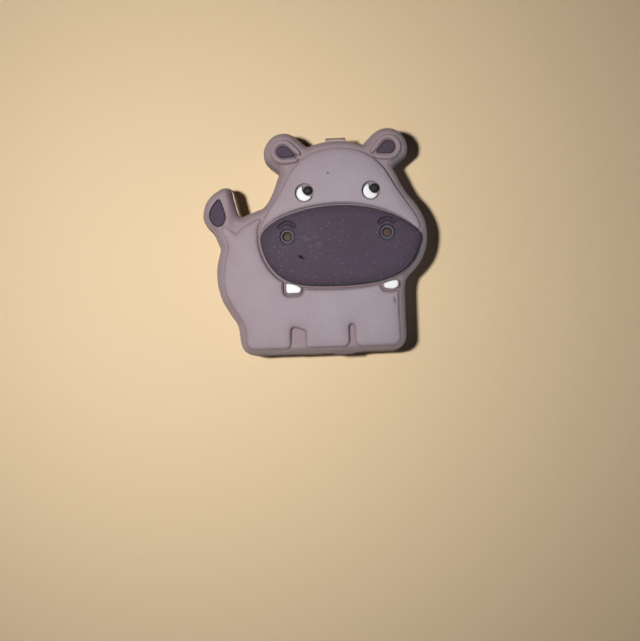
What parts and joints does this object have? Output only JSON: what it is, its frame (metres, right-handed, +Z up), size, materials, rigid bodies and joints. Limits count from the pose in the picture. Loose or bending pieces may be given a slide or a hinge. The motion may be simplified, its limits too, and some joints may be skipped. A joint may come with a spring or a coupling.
{
  "type": "silicone hippopotamus bead",
  "caption": "Flat-backed silicone bead in the shape of a standing hippopotamus, with raised panels, coloured inlays and a cord bore from crown to feet.",
  "frame": {"origin": "under the middle of the bead's box, on the plane of its flat back", "axes": "+Z up out of the face, the thin way; +Y from the feet to the top of the head; +X to the right as the face is seen"},
  "size_m": [0.026, 0.0262, 0.0083],
  "materials": {
    "body_grey": "matt moulded silicone, warm mauve grey",
    "plum": "matt moulded silicone, dark plum grey",
    "nostril_brown": "matt moulded silicone, taupe brown",
    "white": "satin moulded silicone, white",
    "black": "satin moulded silicone, black"
  },
  "bodies": {
    "root": {"head": "body_grey", "ear_left": "body_grey", "ear_right": "body_grey", "trunk": "body_grey", "tail": "body_grey", "leg_rear": "body_grey", "leg_middle": "body_grey", "leg_front": "body_grey", "muzzle": "plum", "ear_inlay_left": "plum", "ear_inlay_right": "plum", "tail_inlay": "plum", "nostril_left": "nostril_brown", "nostril_right": "nostril_brown", "eye_left": "white", "eye_right": "white", "tooth_left": "white", "tooth_right": "white", "pupil_left": "black", "pupil_right": "black"}
  },
  "joints": []
}
